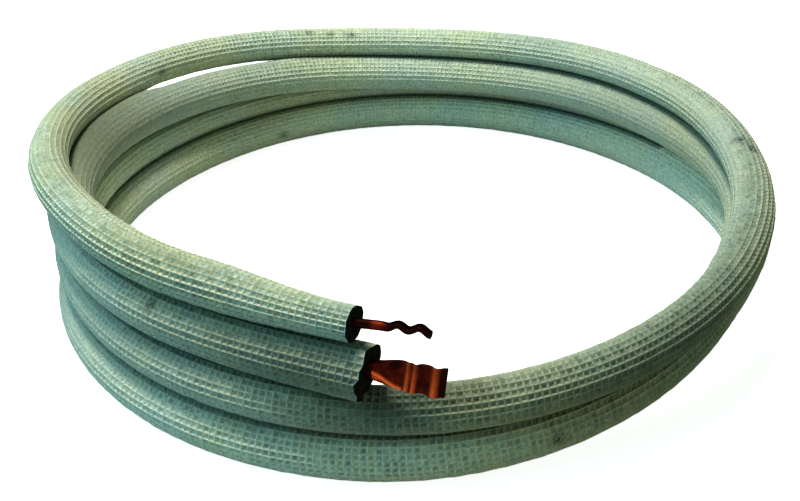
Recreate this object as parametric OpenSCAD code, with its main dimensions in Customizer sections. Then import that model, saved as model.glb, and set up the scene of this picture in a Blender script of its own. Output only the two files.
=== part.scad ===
// Coil of insulated twin copper tube: a thin and a thick tube, each in a foam sleeve, laid side by side
// in a little under two turns. +Z is up, the coil lies on the floor at z = 0 and the visible ends face -Y.
// Azimuth runs clockwise seen from above: 0 at the front (-Y), 90 at -X, 180 at the back, 270 at +X.

/* [Tubes] */
// Outside diameter of the thin copper tube, mm
thin_tube_d = 6.35; // [5:0.05:12]
// Outside diameter of the thick copper tube, mm
thick_tube_d = 12.7; // [9:0.1:18]
// Wall of both copper tubes, mm
tube_wall = 0.8; // [0.6:0.1:1.2]

/* [Sleeves] */
// Foam thickness round the thin tube, mm
thin_foam = 13; // [8:0.5:16]
// Foam thickness round the thick tube, mm
thick_foam = 12.4; // [8:0.2:16]
// Room between a tube and the bore of its sleeve, mm
bore_room = 0.3; // [0.2:0.1:0.5]
// Room between sleeves that lie on one another, mm
lay_room = 0.4; // [0.2:0.1:0.8]

/* [Coil] */
// Mean radius of the coil, mm
coil_radius = 295; // [250:5:360]
// Azimuth of the visible front end of the sleeves, degrees
front_azimuth = 5.5; // [4:0.5:30]
// Azimuth of the thick line's far end, counted on through the second turn, degrees
far_azimuth = 630; // [612:9:639]
// How much sooner the thin line ends there, degrees
thin_short = 27; // [0:9:36]
// Azimuth where the first turn has come down to the floor, degrees
land_azimuth = 366; // [350:2:400]
// Open gap between the two lines at the back left of the first turn, mm
spring_gap = 10; // [0:0.5:18]
// Azimuth of the widest place of that gap, degrees
spring_azimuth = 130; // [110:2:160]
// Half the azimuth that the gap spans, degrees
spring_span = 46; // [30:2:60]
// How far the thick line slips outward under the thin line at the right of the first turn, mm
side_slip = 15; // [0:1:20]
// Azimuth of the middle of that slip, degrees
slip_azimuth = 274; // [266:2:290]
// Half the azimuth that the slip spans, degrees
slip_span = 34; // [20:2:50]

/* [Ends] */
// Share of the thin sleeve's diameter lost at its stretched front end
end_squeeze = 0.28; // [0:0.02:0.3]
// Azimuth over which that end narrows, degrees
squeeze_span = 24; // [10:2:40]
// How far the front ends are bent outward, mm
front_flare = 22; // [0:1:36]
// How far the thin line tips outward there, degrees
front_tip = 6; // [0:1:20]
// How far the thin line lifts off the thick line there, mm
front_lift = 2.6; // [0:0.2:5]
// Azimuth over which the front ends are bent, degrees
flare_span = 28; // [20:2:50]
// How far the thick sleeve stands out past the thin one, mm
thick_lead = 9; // [1:1:12]
// How far the thin tube rises off the middle of its sleeve at the front, mm
thin_rise = 1; // [0:0.5:4]
// How far the thick tube rises off the middle of its sleeve at the front, mm
thick_rise = 3.5; // [0:0.5:5]
// Bare copper in front of the thin sleeve, mm
thin_bare = 50; // [40:1:70]
// Bare copper in front of the thick sleeve, mm
thick_bare = 51; // [51:1:75]
// Bare copper at the plain far ends, mm
far_bare = 14; // [4:1:30]
// How far the bare thin end turns inward from its sleeve's line, degrees
thin_turn = 8; // [0:1:14]
// How far the bare thick end turns inward from its sleeve's line, degrees
thick_turn = 4; // [0:1:14]
// Length of the flat pinch on the thin tube, mm
thin_pinch = 28; // [14:1:30]
// Length of the flat pinch on the thick tube, mm
thick_pinch = 29; // [14:1:34]
// Length over which the round thin tube turns flat, mm
thin_taper = 6; // [4:1:9]
// Length over which the round thick tube turns flat, mm
thick_taper = 22; // [8:1:25]
// Roll of the thin pinch about the tube, from lying level, degrees
thin_roll = -10; // [-30:5:30]
// Roll of the thick pinch about the tube, from lying level, degrees
thick_roll = 60; // [40:5:90]
// Height of the waves in the thin pinch, mm
thin_wave = 2.3; // [0:0.1:3]
// Height of the cross crimps in the thick pinch, mm
thick_wave = 1; // [0:0.1:2]
// Number of waves in each pinch
pinch_waves = 2; // [1:1:4]

/* [Hidden] */
thin_r = thin_tube_d / 2 + thin_foam;
thick_r = thick_tube_d / 2 + thick_foam;
pair_gap = thin_r + thick_r + lay_room;
// The first turn starts down where it has passed the thin line's far end
thin_far = far_azimuth - thin_short;
drop_azimuth = thin_far - 360;
// Slit left in a pinched bore
pinch_slit = 0.3;
// Azimuth between rings of the sweep and between the stations of the lay
ring_step = 9;
station_step = 60;
// How far the thick line lies off the mean radius at each station, in hundredths of that radius
thick_offset = [-13, -10, 2, 2.5, 4, -0.5, -5, -6, 0, 9, 11, 11];
// Lean of the thin line on the thick line at each station, from straight up towards the outside
thin_lean = [-14, -1, 45, 22, 7, 19, -4, -9, 17, 14, 12, 7];
copper = [0.72, 0.36, 0.2];
foam = [0.86, 0.9, 0.82];

// Smooth curve through a list of station values
function slope(list, i) =
    i == 0 ? list[1] - list[0]
    : i == len(list) - 1 ? list[i] - list[i - 1]
    : (list[i + 1] - list[i - 1]) / 2;
function between(list, i, t) =
    list[i] * (2 * t * t * t - 3 * t * t + 1) + slope(list, i) * (t * t * t - 2 * t * t + t)
    + list[i + 1] * (3 * t * t - 2 * t * t * t) + slope(list, i + 1) * (t * t * t - t * t);
function at_station(list, azimuth) =
    let (i = min(floor(azimuth / station_step), len(list) - 2))
    between(list, i, azimuth / station_step - i);
function ease(t) = let (u = max(0, min(1, t))) u * u * (3 - 2 * u);

// The lay: [radius, height] of each line's centre at an azimuth
function front_bend(azimuth) = pow(max(0, front_azimuth + flare_span - azimuth) / flare_span, 2);
function slip(azimuth) =
    abs(azimuth - slip_azimuth) >= slip_span ? 0
    : side_slip * pow(cos(90 * (azimuth - slip_azimuth) / slip_span), 2);
function thick_radius(azimuth) =
    coil_radius * (1 + at_station(thick_offset, azimuth) / 100) + front_flare * front_bend(azimuth)
    + slip(azimuth);
function stacked_height(azimuth) =
    let (
        below = thin_lay(azimuth + 360),
        reach = pair_gap * pair_gap - pow(thick_radius(azimuth) - below[0], 2)
    )
    below[1] + sqrt(max(0, reach));
function thick_height(azimuth) =
    azimuth >= land_azimuth ? thick_r
    : let (top = stacked_height(min(azimuth, drop_azimuth)))
      thick_r + (top - thick_r) * (1 - ease((azimuth - drop_azimuth) / (land_azimuth - drop_azimuth)));
function spring(azimuth) =
    abs(azimuth - spring_azimuth) >= spring_span ? 0
    : spring_gap * pow(cos(90 * (azimuth - spring_azimuth) / spring_span), 2);
function thin_radius(azimuth) =
    thin_r * (1 - end_squeeze * ease((front_azimuth + squeeze_span - azimuth) / squeeze_span));
function thin_on(base, azimuth) =
    let (
        lean = at_station(thin_lean, azimuth) + front_tip * front_bend(azimuth),
        lift = spring(azimuth) + front_lift * front_bend(azimuth),
        reach = thin_radius(azimuth) + thick_r + lay_room + lift,
        outward = sin(lean) - slip(azimuth) / reach
    )
    [base[0] + reach * outward, base[1] + reach * sqrt(1 - outward * outward)];
function thick_lay(azimuth) = [thick_radius(azimuth), thick_height(azimuth)];
function thin_lay(azimuth) = thin_on(thick_lay(azimuth), azimuth);
function in_space(lay, azimuth) = [-lay[0] * sin(azimuth), -lay[0] * cos(azimuth), lay[1]];
function line_point(thin, azimuth) = in_space(thin ? thin_lay(azimuth) : thick_lay(azimuth), azimuth);

// Frames: [centre, side, up, ahead] with side pointing inward across the line
function unit(v) = v / norm(v);
function line_frame(thin, azimuth) =
    let (
        ahead = unit(line_point(thin, azimuth + 0.5) - line_point(thin, azimuth - 0.5)),
        side = unit(cross(ahead, [0, 0, 1]))
    )
    [line_point(thin, azimuth), side, cross(side, ahead), ahead];
function shifted(frame, along, rise) =
    [frame[0] + along * frame[3] + rise * frame[2], frame[1], frame[2], frame[3]];
function rolled(frame, angle) =
    [frame[0], cos(angle) * frame[1] + sin(angle) * frame[2], cos(angle) * frame[2] - sin(angle) * frame[1],
        frame[3]];
function turned_in(frame, angle) =
    [frame[0], cos(angle) * frame[1] + sin(angle) * frame[3], frame[2],
        cos(angle) * frame[3] - sin(angle) * frame[1]];
first_ring = ceil(front_azimuth / ring_step + 0.2) * ring_step;
function last_azimuth(thin) = thin ? thin_far : far_azimuth;
function azimuths(thin) =
    [front_azimuth, for (a = first_ring; a < last_azimuth(thin) - 2; a = a + ring_step) a, last_azimuth(thin)];

// The stations of a sleeve: [frame, azimuth], and the frame of the tube that it holds there
function stations(thin) =
    [if (!thin) [shifted(line_frame(thin, front_azimuth), -thick_lead, 0), front_azimuth],
        for (a = azimuths(thin)) [line_frame(thin, a), a]];
function tube_frame(thin, station) =
    shifted(station[0], 0, (thin ? thin_rise : thick_rise) * front_bend(station[1]));

// One section of a tube: half width across, half height, squareness 1 round to 0.4 flat
function section(frame, half_w, half_h, square, sides) =
    [for (i = [0 : sides - 1])
        let (t = 360 * i / sides, s = sin(t))
        frame[0] + half_w * cos(t) * frame[1]
        + half_h * (s < 0 ? -1 : 1) * pow(abs(s), square) * frame[2]];

// A tube swept through rings of outer points and rings of half as many bore points
module tube_sweep(outer, bore) {
    rings = len(outer);
    n = len(outer[0]);
    m = len(bore[0]);
    points = [for (ring = outer) each ring, for (ring = bore) each ring];
    base = rings * n;
    skin = [for (r = [0 : rings - 2], i = [0 : n - 1]) let (j = (i + 1) % n)
        each [[r * n + i, r * n + j, (r + 1) * n + j], [r * n + i, (r + 1) * n + j, (r + 1) * n + i]]];
    wall = [for (r = [0 : rings - 2], i = [0 : m - 1]) let (j = (i + 1) % m)
        each [[base + r * m + i, base + (r + 1) * m + j, base + r * m + j],
            [base + r * m + i, base + (r + 1) * m + i, base + (r + 1) * m + j]]];
    last = rings - 1;
    front = [for (i = [0 : m - 1]) let (a = 2 * i, b = 2 * i + 1, c = (2 * i + 2) % n, j = (i + 1) % m)
        each [[a, base + i, b], [b, base + i, base + j], [b, base + j, c]]];
    back = [for (i = [0 : m - 1]) let (a = last * n + 2 * i, b = a + 1, c = last * n + (2 * i + 2) % n,
            p = base + last * m + i, q = base + last * m + (i + 1) % m)
        each [[a, b, p], [b, q, p], [b, c, q]]];
    polyhedron(points, concat(skin, wall, front, back));
}

function sleeve_skin(thin) =
    [for (s = stations(thin))
        let (r = thin ? thin_radius(s[1]) : thick_r)
        section(s[0], r, r, 1, 16)];
function sleeve_bore(thin) =
    let (r = ((thin ? thin_tube_d : thick_tube_d) / 2 + bore_room) / cos(22.5))
    [for (s = stations(thin)) section(tube_frame(thin, s), r, r, 1, 8)];

module sleeve(thin) {
    tube_sweep(sleeve_skin(thin), sleeve_bore(thin));
}

// Rings of the bare front end, from the tip back to the sleeve: [along, flatness, rise]
function end_rings(bare, pinch, taper, wave, steps) =
    [for (i = [0 : steps])
        let (d = i * pinch / steps)
        [d - bare, 1, -wave * cos(360 * pinch_waves * d / pinch)],
    for (i = [1 : 4])
        let (f = 1 - ease(i / 4))
        [pinch + taper * i / 4 - bare, f, -wave * f]];

// Rings of a whole tube: [frame, half width, half height, squareness]
function tube_rings(thin) =
    let (
        radius = (thin ? thin_tube_d : thick_tube_d) / 2,
        roll = thin ? thin_roll : thick_roll,
        flat_w = radius * PI / 2 - tube_wall * 0.2,
        flat_h = tube_wall + pinch_slit / 2,
        mouth = tube_frame(thin, stations(thin)[0]),
        start = rolled(turned_in(mouth, thin ? thin_turn : thick_turn), roll),
        stop = rolled(line_frame(thin, last_azimuth(thin)), roll),
        ends = thin ? end_rings(thin_bare, thin_pinch, thin_taper, thin_wave, 12)
            : end_rings(thick_bare, thick_pinch, thick_taper, thick_wave, 12)
    )
    [for (e = ends) [shifted(start, e[0], e[2]), radius + (flat_w - radius) * e[1],
            radius + (flat_h - radius) * e[1], 1 - 0.6 * e[1]],
        for (s = stations(thin)) [rolled(tube_frame(thin, s), roll), radius, radius, 1],
        [shifted(stop, far_bare, 0), radius, radius, 1]];
function tube_skin(thin) = [for (r = tube_rings(thin)) section(r[0], r[1], r[2], r[3], 12)];
function tube_bore(thin) =
    [for (r = tube_rings(thin)) section(r[0], r[1] - tube_wall, r[2] - tube_wall, r[3], 6)];

module tube(thin) {
    tube_sweep(tube_skin(thin), tube_bore(thin));
}

// The coil's box is centred on the origin
skin_points = [for (thin = [true, false], ring = concat(sleeve_skin(thin), tube_skin(thin))) each ring];
skin_x = [for (p = skin_points) p[0]];
skin_y = [for (p = skin_points) p[1]];
skin_z = [for (p = skin_points) p[2]];
to_origin = [-(min(skin_x) + max(skin_x)) / 2, -(min(skin_y) + max(skin_y)) / 2, -min(skin_z)];

module thin_tube() {
    color(copper) translate(to_origin) tube(true);
}

module thin_sleeve() {
    color(foam) translate(to_origin) sleeve(true);
}

module thick_tube() {
    color(copper) translate(to_origin) tube(false);
}

module thick_sleeve() {
    color(foam) translate(to_origin) sleeve(false);
}

thin_tube();
thin_sleeve();
thick_tube();
thick_sleeve();
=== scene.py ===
"""Looks of a coil of insulated twin copper tube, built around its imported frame.

Two copper tubes, a thin and a thick one, lie in embossed foam sleeves. The pair runs a little under two
turns round the coil, and at the front the bare copper ends stand out of the sleeves, pinched flat.
"""

import itertools
import logging
import math
from dataclasses import dataclass
from enum import Enum

import bmesh
import bpy
import numpy as np
from mathutils import Matrix, Vector


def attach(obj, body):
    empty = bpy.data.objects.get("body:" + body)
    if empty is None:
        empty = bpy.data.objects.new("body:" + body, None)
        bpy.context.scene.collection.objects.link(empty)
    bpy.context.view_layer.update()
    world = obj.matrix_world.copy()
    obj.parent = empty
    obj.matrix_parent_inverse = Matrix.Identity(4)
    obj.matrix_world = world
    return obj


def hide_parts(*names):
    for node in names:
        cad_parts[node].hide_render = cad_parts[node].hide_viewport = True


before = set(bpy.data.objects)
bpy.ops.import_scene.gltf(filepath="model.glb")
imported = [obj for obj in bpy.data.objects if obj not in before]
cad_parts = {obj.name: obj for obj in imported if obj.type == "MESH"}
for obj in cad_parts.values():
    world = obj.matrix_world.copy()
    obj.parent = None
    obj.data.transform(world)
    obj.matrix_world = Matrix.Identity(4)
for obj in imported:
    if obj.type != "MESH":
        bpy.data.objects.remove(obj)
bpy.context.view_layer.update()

LOG = logging.getLogger("coil")
PHOTO_WIDTH = 800
MM = 0.001
PERCENT = 100.0
FULL_TURN = 360.0
HALF_TURN = 180.0
UP_ANGLE = 90.0
# The foam's light-and-shade attribute holds painted light and shade, and the copper's wear-and-light
# attribute holds rubbed wear and painted highlights above 0 and painted shade below 0.
PIT, DIRT, LIGHT_AND_SHADE, WEAR_AND_LIGHT, END = "pit", "dirt", "painted_light_and_shade", "wear_and_light", "end_of_sheet"
FLOAT_SOCKET = "NodeSocketFloat"
# A rolled sheet's seam lies at the bottom, this share of a turn before angle 0.
SEAM_TURN = 0.25
# Vertices along a seam that lie closer than this are one, in metres.
WELD = 1e-6

Array = np.ndarray
Range = tuple[float, float]
Colour = tuple[float, float, float, float]


class Line(Enum):
    """The two lines that are coiled side by side."""

    THIN = "thin"
    THICK = "thick"


class SheetEnd(Enum):
    """Which end of a rolled sheet a vertex lies on."""

    NONE = 0
    FRONT = 1
    FAR = 2


def ease(t: Array) -> Array:
    """Return a smooth step from 0 to 1 over the unit range."""
    u = np.clip(t, 0.0, 1.0)
    return u * u * (3.0 - 2.0 * u)


def bump(x: Array, centre: float, width: float) -> Array:
    """Return a round bump of height 1 about a centre, with a half width."""
    return np.exp(-(((x - centre) / width) ** 2))


def wrapped(angle: Array) -> Array:
    """Return angles in radians, brought to within half a turn of 0."""
    return np.angle(np.exp(1j * angle))


def inner_share(angle: Array) -> Array:
    """Return 1 on a line's inner side, falling to 0 on its outer side."""
    return 0.5 + 0.5 * np.cos(angle)


def waves(points: Array, length: float, seed: int, count: int = 6, spread: Range = (0.7, 1.6)) -> Array:
    """Make a smooth, uneven field from a few sine waves in fixed directions.

    Args:
        points: Places in space, in millimetres.
        length: Typical length of one wave, in millimetres.
        seed: Seed of the waves' directions and phases.
        count: How many waves are added up.
        spread: Shortest and longest wave, as shares of the typical length.

    Returns:
        One value for each place, mostly between -1 and 1.
    """
    draw = np.random.default_rng(seed)
    total = np.zeros(len(points))
    for _ in range(count):
        direction = draw.normal(size=3)
        direction *= 2.0 * math.pi / (length * draw.uniform(*spread) * np.linalg.norm(direction))
        total += np.sin(points @ direction + draw.uniform(0.0, 2.0 * math.pi))
    return 2.0 * total / count


@dataclass
class Frames:
    """Centres and axes of a line at many places, in millimetres."""

    centre: Array
    side: Array
    up: Array
    ahead: Array

    def shifted(self, along: Array, rise: Array) -> "Frames":
        """Return the frames moved along the line and upward."""
        moved = self.centre + along[:, None] * self.ahead + rise[:, None] * self.up
        return Frames(moved, self.side, self.up, self.ahead)

    def rolled(self, degrees: float) -> "Frames":
        """Return the frames rolled about the line."""
        c, s = math.cos(math.radians(degrees)), math.sin(math.radians(degrees))
        return Frames(self.centre, c * self.side + s * self.up, c * self.up - s * self.side, self.ahead)

    def turned_in(self, degrees: float) -> "Frames":
        """Return the frames with the way back turned towards the inside of the coil."""
        c, s = math.cos(math.radians(degrees)), math.sin(math.radians(degrees))
        return Frames(self.centre, c * self.side + s * self.ahead, self.up, c * self.ahead - s * self.side)

    def ring_points(self, across: Array, rise: Array) -> Array:
        """Return the points that lie so far across and above each centre."""
        return self.centre + across[:, None] * self.side + rise[:, None] * self.up


@dataclass(frozen=True)
class Lay:
    """The route of both lines, as the part's source lays them, in millimetres and degrees of azimuth.

    Azimuth 0 is at the front, 90 at the left, 180 at the back, and it counts on through the second turn.
    The thick line's offsets are in hundredths of the coil's radius. Both lists hold one value a station.
    """

    middle: tuple[float, float] = (-11.97, -22.55)
    coil_radius: float = 295.0
    thin_r: float = 16.175
    thick_r: float = 18.75
    thin_tube_r: float = 3.175
    thick_tube_r: float = 6.35
    bore_room: float = 0.3
    lay_room: float = 0.4
    thick_lead: float = 9.0
    thin_rise: float = 1.0
    thick_rise: float = 3.5
    front: float = 5.5
    far: float = 630.0
    thin_short: float = 27.0
    land: float = 366.0
    spring_gap: float = 10.0
    spring_azimuth: float = 130.0
    spring_span: float = 46.0
    side_slip: float = 15.0
    slip_azimuth: float = 274.0
    slip_span: float = 34.0
    end_squeeze: float = 0.28
    squeeze_span: float = 24.0
    front_flare: float = 22.0
    front_tip: float = 6.0
    front_lift: float = 2.6
    flare_span: float = 28.0
    station_step: float = 60.0
    thick_offset: tuple[float, ...] = (-13, -10, 2, 2.5, 4, -0.5, -5, -6, 0, 9, 11, 11)
    thin_lean: tuple[float, ...] = (-14, -1, 45, 22, 7, 19, -4, -9, 17, 14, 12, 7)
    probe: float = 0.5
    route_points: int = 2500

    def at_station(self, values: tuple[float, ...], azimuth: Array) -> Array:
        """Follow the smooth curve through a list of station values.

        Args:
            values: One value for each station.
            azimuth: Where to read the curve, in degrees.

        Returns:
            The curve's values there.
        """
        v = np.array(values, float)
        slope = np.gradient(v)
        i = np.clip(np.floor(azimuth / self.station_step).astype(int), 0, len(v) - 2)
        t = azimuth / self.station_step - i
        return (v[i] * (2 * t**3 - 3 * t**2 + 1) + slope[i] * (t**3 - 2 * t**2 + t)
                + v[i + 1] * (3 * t**2 - 2 * t**3) + slope[i + 1] * (t**3 - t**2))

    def front_bend(self, azimuth: Array) -> Array:
        """Return how much of the front end's bend is reached, from 0 to 1 at the end."""
        return (np.maximum(0.0, self.front + self.flare_span - azimuth) / self.flare_span) ** 2

    def swell(self, azimuth: Array, middle: float, span: float) -> Array:
        """Return a round swell of height 1 over an azimuth span."""
        return np.cos(np.clip((azimuth - middle) / span, -1.0, 1.0) * math.pi / 2.0) ** 2

    def slip(self, azimuth: Array) -> Array:
        """Return how far the thick line slips outward under the thin one at the right."""
        return self.side_slip * self.swell(azimuth, self.slip_azimuth, self.slip_span)

    def spring(self, azimuth: Array) -> Array:
        """Return the open gap between the two lines of the first turn."""
        return self.spring_gap * self.swell(azimuth, self.spring_azimuth, self.spring_span)

    def thick_radius(self, azimuth: Array) -> Array:
        """Return the thick line's distance from the coil's axis."""
        round_coil = self.coil_radius * (1.0 + self.at_station(self.thick_offset, azimuth) / PERCENT)
        return round_coil + self.front_flare * self.front_bend(azimuth) + self.slip(azimuth)

    def thick_height(self, azimuth: Array) -> Array:
        """Lay the thick line on the second turn and then down to the floor.

        Args:
            azimuth: Where, in degrees.

        Returns:
            The height of its centre.
        """
        drop = self.last_azimuth(Line.THIN) - FULL_TURN
        stacked = np.minimum(azimuth, drop)
        on_floor = np.full_like(azimuth, self.thick_r)
        below = stacked + FULL_TURN
        below_r, below_z = self.thin_on(self.thick_radius(below), on_floor, below)
        pair = self.thin_r + self.thick_r + self.lay_room
        top = below_z + np.sqrt(np.maximum(0.0, pair**2 - (self.thick_radius(stacked) - below_r) ** 2))
        fallen = ease((azimuth - drop) / (self.land - drop))
        return np.where(azimuth >= self.land, on_floor, self.thick_r + (top - self.thick_r) * (1.0 - fallen))

    def full_radius(self, line: Line) -> float:
        """Return a sleeve's outer radius away from its ends."""
        return self.thin_r if line is Line.THIN else self.thick_r

    def sleeve_radius(self, line: Line, azimuth: Array) -> Array:
        """Return a sleeve's outer radius; the thin one narrows at its front end.

        Args:
            line: Which line.
            azimuth: Where, in degrees.

        Returns:
            The radius there.
        """
        if line is Line.THICK:
            return np.full_like(azimuth, self.thick_r)
        narrowed = ease((self.front + self.squeeze_span - azimuth) / self.squeeze_span)
        return self.thin_r * (1.0 - self.end_squeeze * narrowed)

    def thin_on(self, base_r: Array, base_z: Array, azimuth: Array) -> tuple[Array, Array]:
        """Lay the thin line on the thick one.

        Args:
            base_r: The thick line's distance from the axis.
            base_z: The thick line's height.
            azimuth: Where, in degrees.

        Returns:
            The thin line's distance from the axis and its height.
        """
        bend = self.front_bend(azimuth)
        lean = np.radians(self.at_station(self.thin_lean, azimuth) + self.front_tip * bend)
        lift = self.spring(azimuth) + self.front_lift * bend
        reach = self.sleeve_radius(Line.THIN, azimuth) + self.thick_r + self.lay_room + lift
        outward = np.sin(lean) - self.slip(azimuth) / reach
        return base_r + reach * outward, base_z + reach * np.sqrt(1.0 - outward**2)

    def points(self, line: Line, azimuth: Array) -> Array:
        """Find a line's centres.

        Args:
            line: Which line.
            azimuth: Where, in degrees.

        Returns:
            The centres in the row frame.
        """
        r, z = self.thick_radius(azimuth), self.thick_height(azimuth)
        if line is Line.THIN:
            r, z = self.thin_on(r, z, azimuth)
        a = np.radians(azimuth)
        return np.stack([self.middle[0] - r * np.sin(a), self.middle[1] - r * np.cos(a), z], axis=1)

    def frames_at(self, line: Line, azimuth: Array) -> Frames:
        """Find a line's centres and axes.

        Args:
            line: Which line.
            azimuth: Where, in degrees.

        Returns:
            The frames there; side points towards the inside of the coil.
        """
        ahead = self.points(line, azimuth + self.probe) - self.points(line, azimuth - self.probe)
        ahead /= np.linalg.norm(ahead, axis=1, keepdims=True)
        side = np.cross(ahead, (0.0, 0.0, 1.0))
        side /= np.linalg.norm(side, axis=1, keepdims=True)
        return Frames(self.points(line, azimuth), side, np.cross(side, ahead), ahead)

    def last_azimuth(self, line: Line) -> float:
        """Return the azimuth of a line's far end."""
        return self.far - (self.thin_short if line is Line.THIN else 0.0)

    def route(self, line: Line) -> "Route":
        """Measure a line along its length.

        Args:
            line: Which line.

        Returns:
            Its route, with the sizes that its tube and sleeve share.
        """
        azimuth = np.linspace(self.front, self.last_azimuth(line), self.route_points)
        steps = np.linalg.norm(np.diff(self.points(line, azimuth), axis=0), axis=1)
        measure = np.concatenate([[0.0], np.cumsum(steps)])
        if line is Line.THIN:
            return Route(self, line, azimuth, measure, self.thin_tube_r, 0.0, self.thin_rise)
        return Route(self, line, azimuth, measure, self.thick_tube_r, self.thick_lead, self.thick_rise)


@dataclass
class Route:
    """One line of the lay, measured in millimetres from its front end.

    Its sleeve starts a lead before the front azimuth, and its tube rises off the sleeve's middle there.
    """

    lay: Lay
    line: Line
    azimuth: Array
    measure: Array
    tube_r: float
    lead: float
    rise: float

    @property
    def length(self) -> float:
        """Length from the front azimuth to the far one."""
        return float(self.measure[-1])

    @property
    def sleeve_length(self) -> float:
        """Length of the line's sleeve."""
        return self.length + self.lead

    def azimuth_at(self, along: Array) -> Array:
        """Return the azimuth at a distance along the line."""
        return np.interp(along, self.measure, self.azimuth)

    def frames(self, along: Array, rise: float = 0.0) -> Frames:
        """Return the frames at distances along the line, straight on past its ends.

        Args:
            along: Distances from the front end, below 0 in front of it.
            rise: How far the frames rise off the middle of the sleeve at the front end.

        Returns:
            The frames there.
        """
        azimuth = self.azimuth_at(along)
        past = along - np.clip(along, 0.0, self.length)
        return self.lay.frames_at(self.line, azimuth).shifted(past, rise * self.lay.front_bend(azimuth))


@dataclass(frozen=True)
class Mottle:
    """Shared shader group: a patchy mask, fine grain and specks on object coordinates."""

    name: str = "mottle"
    patch_scale: float = 14.0
    grain_scale: float = 300.0
    patch_detail: float = 3.0
    grain_detail: float = 2.0
    roughness: float = 0.6

    def group(self) -> bpy.types.NodeTree:
        """Return the group, built the first time it is asked for."""
        return bpy.data.node_groups.get(self.name) or self.build()

    def build(self) -> bpy.types.NodeTree:
        """Build the group.

        Returns:
            The group: two scales in, and Patch, Grain and Speck out.
        """
        tree = bpy.data.node_groups.new(self.name, "ShaderNodeTree")
        for label, start in (("Patch Scale", self.patch_scale), ("Grain Scale", self.grain_scale)):
            socket = tree.interface.new_socket(label, in_out="INPUT", socket_type=FLOAT_SOCKET)
            socket.default_value = start
        for label in ("Patch", "Grain", "Speck"):
            tree.interface.new_socket(label, in_out="OUTPUT", socket_type=FLOAT_SOCKET)
        kit = NodeKit(tree)
        given, out = tree.nodes.new("NodeGroupInput"), tree.nodes.new("NodeGroupOutput")
        place = kit.add("ShaderNodeTexCoord").outputs["Object"]
        for label, detail in (("Patch", self.patch_detail), ("Grain", self.grain_detail)):
            noise = kit.add("ShaderNodeTexNoise", Vector=place, Scale=given.outputs[f"{label} Scale"],
                            Detail=detail, Roughness=self.roughness)
            kit.feed(out.inputs[label], noise.outputs["Fac"])
        cells = kit.add("ShaderNodeTexVoronoi", Vector=place, Scale=given.outputs["Grain Scale"])
        kit.feed(out.inputs["Speck"], cells.outputs["Distance"])
        return tree


class NodeKit:
    """Adds nodes to a tree and links or sets their inputs by name."""

    def __init__(self, tree: bpy.types.NodeTree) -> None:
        """Keep the tree that nodes are added to."""
        self.tree = tree

    def add(self, kind: str, settings: dict[str, object] | None = None, **inputs: object) -> bpy.types.Node:
        """Add one node.

        Args:
            kind: The node's Blender type.
            settings: Properties of the node itself.
            **inputs: Values or output sockets for its inputs, with _ for a blank in a name.

        Returns:
            The new node.
        """
        node = self.tree.nodes.new(kind)
        for name, value in (settings or {}).items():
            setattr(node, name, value)
        for name, value in inputs.items():
            self.feed(node.inputs[name.replace("_", " ")], value)
        return node

    def feed(self, socket: bpy.types.NodeSocket, value: object) -> None:
        """Link a socket to an output, or set its value.

        Args:
            socket: The input socket.
            value: An output socket or a plain value.
        """
        if isinstance(value, bpy.types.NodeSocket):
            self.tree.links.new(value, socket)
        else:
            socket.default_value = value

    def feed_all(self, node: bpy.types.Node, *values: object) -> bpy.types.Node:
        """Feed a node's first inputs in order.

        Args:
            node: The node.
            *values: Output sockets or plain values.

        Returns:
            The same node.
        """
        for socket, value in zip(node.inputs, values):
            self.feed(socket, value)
        return node

    def math(self, operation: str, a: object, b: object = 0.0, clamp: bool = False) -> bpy.types.NodeSocket:
        """Return the output of a Math node."""
        node = self.add("ShaderNodeMath", {"operation": operation, "use_clamp": clamp})
        return self.feed_all(node, a, b).outputs[0]

    def vector(self, operation: str, a: object, b: object) -> bpy.types.NodeSocket:
        """Return the output of a Vector Math node."""
        return self.feed_all(self.add("ShaderNodeVectorMath", {"operation": operation}), a, b).outputs[0]

    def scaled(self, colour: object, factor: object) -> bpy.types.NodeSocket:
        """Return a colour scaled by a factor."""
        node = self.add("ShaderNodeVectorMath", {"operation": "SCALE"}, Scale=factor)
        return self.feed_all(node, colour).outputs[0]

    def span(self, value: object, mask: Range, to: Range = (0.0, 1.0)) -> bpy.types.NodeSocket:
        """Return a value mapped from one range to another, clamped."""
        node = self.add("ShaderNodeMapRange", {"clamp": True})
        return self.feed_all(node, value, *mask, *to).outputs["Result"]

    def mix(self, factor: object, a: object, b: object) -> bpy.types.NodeSocket:
        """Mix two colours.

        Args:
            factor: Share of the second colour.
            a: The first colour.
            b: The second colour.

        Returns:
            The mixed colour's socket.
        """
        node = self.add("ShaderNodeMix", {"data_type": "RGBA"})
        for label, given in (("Factor_Float", factor), ("A_Color", a), ("B_Color", b)):
            socket = next(s for s in node.inputs if s.identifier == label)
            self.feed(socket, given)
        return next(s for s in node.outputs if s.identifier == "Result_Color")

    def attribute(self, name: str) -> bpy.types.NodeSocket:
        """Return a mesh attribute's value."""
        return self.add("ShaderNodeAttribute", {"attribute_name": name}).outputs["Fac"]

    def mottle(self, patch: float, grain: float) -> bpy.types.Node:
        """Place the shared mottle group with its own scales."""
        node = self.add("ShaderNodeGroup", {"node_tree": Mottle().group()})
        return self.feed_all(node, patch, grain)

    def roughen(self, shader: bpy.types.Node, height: bpy.types.NodeSocket, bite: Range) -> None:
        """Roughen a shader's normal by a height, with a strength and a depth in metres."""
        relief = self.add("ShaderNodeBump", Strength=bite[0], Distance=bite[1], Height=height)
        self.feed(shader.inputs["Normal"], relief.outputs["Normal"])


def blank_finish(name: str) -> tuple[bpy.types.Material, NodeKit, bpy.types.Node]:
    """Start a material.

    Args:
        name: Its name.

    Returns:
        The material, a kit for its nodes and its Principled shader.
    """
    made = bpy.data.materials.new(name)
    made.use_nodes = True
    return made, NodeKit(made.node_tree), made.node_tree.nodes["Principled BSDF"]


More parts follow.
